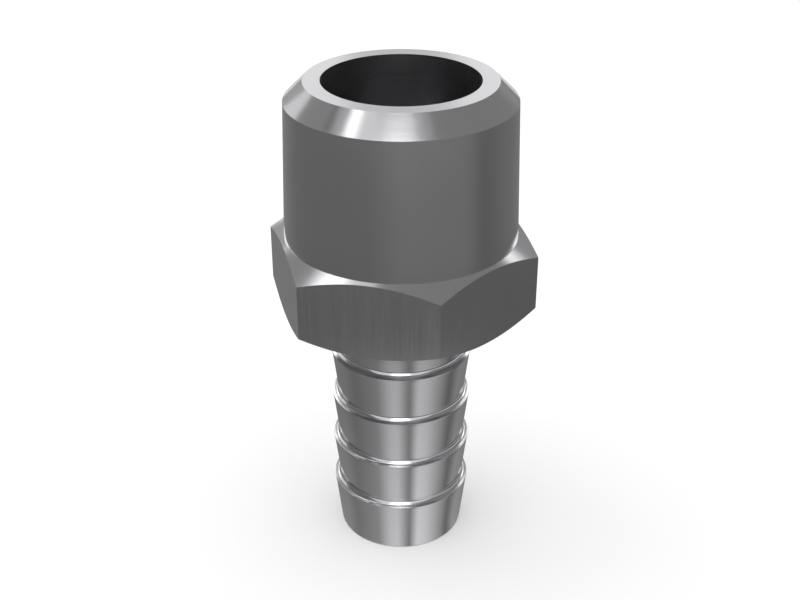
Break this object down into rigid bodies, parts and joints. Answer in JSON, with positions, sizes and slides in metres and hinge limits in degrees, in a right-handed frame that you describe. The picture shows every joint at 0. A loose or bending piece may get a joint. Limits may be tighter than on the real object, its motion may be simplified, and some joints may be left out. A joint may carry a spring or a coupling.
{
  "type": "hose barb tail",
  "caption": "Stainless pipe fitting: tapered pipe spigot with a chamfered end, hexagon for a spanner, barbed tail for a hose, bored right through.",
  "frame": {"origin": "centre of the hose end's face, on the axis, where the fitting stands", "axes": "+Z along the fitting's axis from the hose end to the spigot's end; two corners of the hexagon lie on the X axis"},
  "size_m": [0.0254, 0.022, 0.0462],
  "materials": {
    "stainless_steel": "fine turned"
  },
  "bodies": {
    "root": {"hose_barb_tail": "stainless_steel"}
  },
  "joints": []
}
